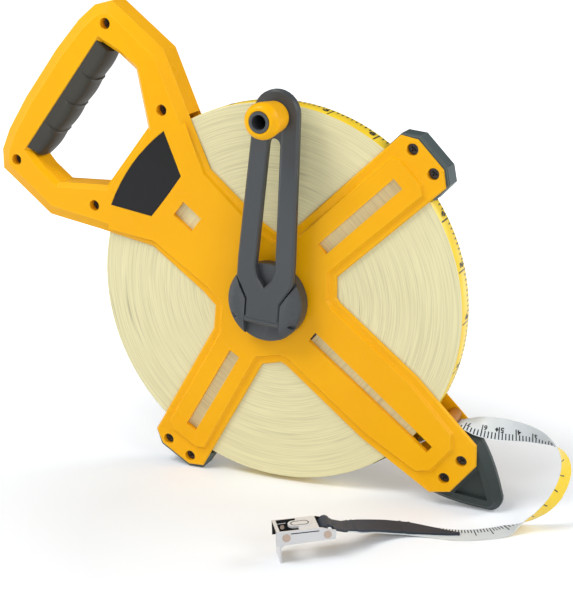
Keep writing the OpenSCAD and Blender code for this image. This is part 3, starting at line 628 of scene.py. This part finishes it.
# The figures stand on the white face, beside every centimetre line, and read towards the hook.
# A diamond between two of them marks the foot.
first_figure, centimetre, figure_tall, diamond_at = 0.006, 0.010, 3.3, 0.0246
bm = bmesh.new()
for i, text in enumerate(["7", "6", "5", "4", "3", "2", "1", "20"]):
    spot = first_figure + centimetre * i
    add_marks(bm, figures(text, figure_tall), lambda x, y: on_tape(spot + (1.9 - x) * mm, 1.2 - y))
diamond = bmesh.new()
bmesh.ops.create_circle(diamond, cap_ends=True, segments=4, radius=1.1)
add_marks(bm, diamond, lambda x, y: on_tape(diamond_at + x * mm, 1.3 * y - 0.4))
tape_numbers = add_piece("tape_numbers", bm, "frame", [ink], crease=180)

# Each long line on the outer face of the last turn has its figure beside it.
rim_figure_tall, figure_out, figure_in, figure_past = 5.6, pack_radius + 0.1 * mm, 2.2, 3.9


def on_rim(start, x, y):
    """A point over the last turn's face: x and y of a figure whose line is at the start angle."""
    turned = start + (figure_past - x) * mm / pack_radius
    return Vector((hub.x + figure_out * math.cos(turned), pack_back - (figure_in + y) * mm,
                   hub.z + figure_out * math.sin(turned)))


bm = bmesh.new()
for i in range(long_lines):
    begins = math.tau * i / long_lines - first_line
    add_marks(bm, figures(str(i % 9 + 1), rim_figure_tall), lambda x, y: on_rim(begins, x, y))
add_piece("rim_numbers", bm, "reel", [ink], crease=180)

# ---------------------------------------------------------------------------------------------
# The straight run of the same tape, in the leg, from the wound rim to the mouth of the rollers. It
# leaves the rim in the rim's own direction there.
leave_radius = pack_radius / mm + tape_thick / 2 + 0.3
mouth_out, mouth_aside, tape_behind, stops_short = 13.2, 19.5, 10.4, 0.4
mouth = Vector((-mouth_out - pack_radius / mm, -mouth_aside, 0))
leave_angle = math.atan2(mouth.y, mouth.x) % math.tau - math.acos(leave_radius / mouth.length)
leave = leave_radius * Vector((math.cos(leave_angle), math.sin(leave_angle), 0))
ahead = (mouth - leave).normalized()
behind = Vector((0, 0, -tape_behind))
run = [standing @ (leave + ahead * gone + behind) / mm
       for gone in (0, (mouth - leave).length - stops_short)]
across_run = [Vector((0, 1, 0))] * 2
bm = lay_strip(run, across_run, [tape_half] * 2, 4, tape_thick / 2)
guided_tape = add_piece("guided_tape", bm, "frame", [white_print, yellow_print],
                        ["tape_run"], crease=180)
thicken(guided_tape, tape_thick).material_offset = under_finish

# ---------------------------------------------------------------------------------------------
# A black strap of coated webbing is fixed over the last of the tape and loops round the hook's
# pin. It narrows where it starts, and has two pairs of ribs across it.
hook_at, hook_turn, pin_x, pin_z = Vector((87.1, -68.8, 11)), math.radians(34.5), 28.7, 4
hook_x = Vector((math.cos(hook_turn), math.sin(hook_turn), 0))
hook_y = Vector((-math.sin(hook_turn), math.cos(hook_turn), 0))
pin_at = hook_at + Vector((0, 0, pin_z))
strap_half, strap_thick, strap_above = 6, 1.3, 0.95

# Over the tape, it turns square to the hook along its last stretch.
squares_over, ends_at = 30, len(line) - 1
on_strap = range(strap_start, len(line), 2)
strap_line = [line[i] + strap_above * heading(line, i).cross(sides[i]) for i in on_strap]
strap_sides = [sides[i].lerp(-hook_y, max(0, 1 - (ends_at - i) / squares_over)).normalized()
               for i in on_strap]

# Round the pin, its loop sits a little towards the tape, and is taller above the pin than below.
loop_radius, loop_shift, tall_above, tall_below = 3.2, 0.15, 1.4, 1.0
for turn in range(25, 325, 15):
    angle = math.radians(turn)
    tall = tall_above if turn < 180 else tall_below
    around = (loop_shift + math.cos(angle)) * hook_x + Vector((0, 0, tall * math.sin(angle)))
    strap_line.append(pin_at + loop_radius * around)
    strap_sides.append(-hook_y)
fine_steps, narrow, widens_over = 3, 0.1, 30
strap_spots, _ = smooth_line(strap_line, [0] * len(strap_line), fine_steps)
last = len(strap_sides) - 1
strap_sides = [strap_sides[i // fine_steps].lerp(strap_sides[min(i // fine_steps + 1, last)],
                                                 i % fine_steps / fine_steps).normalized()
               for i in range(len(strap_spots))]
halves = [strap_half * min(1, narrow + i / widens_over) for i in range(len(strap_spots))]
bm = lay_strip(strap_spots, strap_sides, halves, 6, strap_thick / 2, ribs=(27, 31, 59, 63))
strap = add_piece("strap", bm, "frame", [webbing], ["end_strap"], crease=180)
thicken(strap, strap_thick)

# ---------------------------------------------------------------------------------------------
# The hook: a folded frame of plated sheet steel, with a raised oval tab on its top and a dark
# inside. A pin across it holds the strap, and a claw hangs between its sides on two rivets.
plating = moulded("bright_plating", (0.69, 0.69, 0.70), (0.61, 0.61, 0.62), 0.3, grain=900,
                  depth=0.01, shine=0.5)
plating.node_tree.nodes["Principled BSDF"].inputs["Metallic"].default_value = 0.1
inside = moulded("dark_inside", (0.016, 0.016, 0.017), (0.010, 0.010, 0.011), 0.55,
                 shine=0.15)
shade = moulded("groove_shade", (0.12, 0.12, 0.13), (0.08, 0.08, 0.09), 0.5, shine=0.2)
# The rivets and the strap pin are tinted pinkish-brown: a painted reflection.
rivet_painted_reflection = moulded("rivet_metal_painted_reflection", (0.55, 0.42, 0.34), (0.46, 0.34, 0.27), 0.35, grain=900,
                depth=0.01, shine=0.5)
rivet_painted_reflection.node_tree.nodes["Principled BSDF"].inputs["Metallic"].default_value = 0.4
hook_place = (Matrix.Translation(hook_at * mm) @ Matrix.Rotation(hook_turn, 4, "Z")
              @ Matrix.Translation((-pin_x * mm, 0, 0)) @ Matrix.Scale(mm, 4))
in_hook = hook_place.inverted()
hook_half, hook_high, sheet = 7.85, 8.5, 0.8

# The frame is plated outside, and black between its walls and in the fine groove along the top of
# each side.
groove_from, groove_to, groove_low, groove_high = 8, 24, hook_high - 2.2, hook_high - 1.4
bm = eased("hook_frame", 0.15)
for face in bm.faces:
    x, y, z = in_hook @ face.calc_center_median()
    within = abs(y) < hook_half - sheet + 0.1 and 0.3 < z < hook_high - sheet + 0.1
    in_groove = (groove_from < x < groove_to and groove_low < z < groove_high
                 and abs(y) < hook_half - 0.1)
    face.material_index = 1 if within or in_groove else 0
hook_shell = add_piece("hook_shell", bm, "hook", [plating, inside], ["hook_frame"])

# The groove round the tab is a thin dark oval, just above its face.
tab_x, tab_half_long, tab_round, tab_face = 14.45, 2.6, 2.7, hook_high + 0.53
bm = bmesh.new()
oval = bmesh.ops.create_circle(bm, cap_ends=True, segments=32, radius=tab_round)["verts"]
for v in oval:
    v.co = Vector((tab_x + v.co.x + math.copysign(tab_half_long, v.co.x), v.co.y, tab_face))
bmesh.ops.inset_region(bm, faces=bm.faces[:], thickness=0.7, use_even_offset=True,
                       use_boundary=True)
within_groove = [f for f in bm.faces if len(f.verts) > 4]
bmesh.ops.delete(bm, geom=within_groove, context="FACES")
bmesh.ops.transform(bm, matrix=hook_place, verts=bm.verts)
hook_groove = add_piece("hook_tab_groove", bm, "hook", [shade], crease=180)

# The claw is plated on its face and its sides, and black behind, between its own two ears.
face_back, lowest_black = 2.3, 0.5
bm = eased("hook_claw", 0.15)
for face in bm.faces:
    x, y, z = in_hook @ face.calc_center_median()
    between = x > face_back and z > lowest_black and abs(y) < hook_half - 2 * sheet - 0.3
    face.material_index = 1 if between else 0
claw_plate = add_piece("claw_plate", bm, "claw", [plating, inside], ["hook_claw"])
for node in ("claw_rivets", "strap_pin"):
    refinish(node, rivet_painted_reflection)
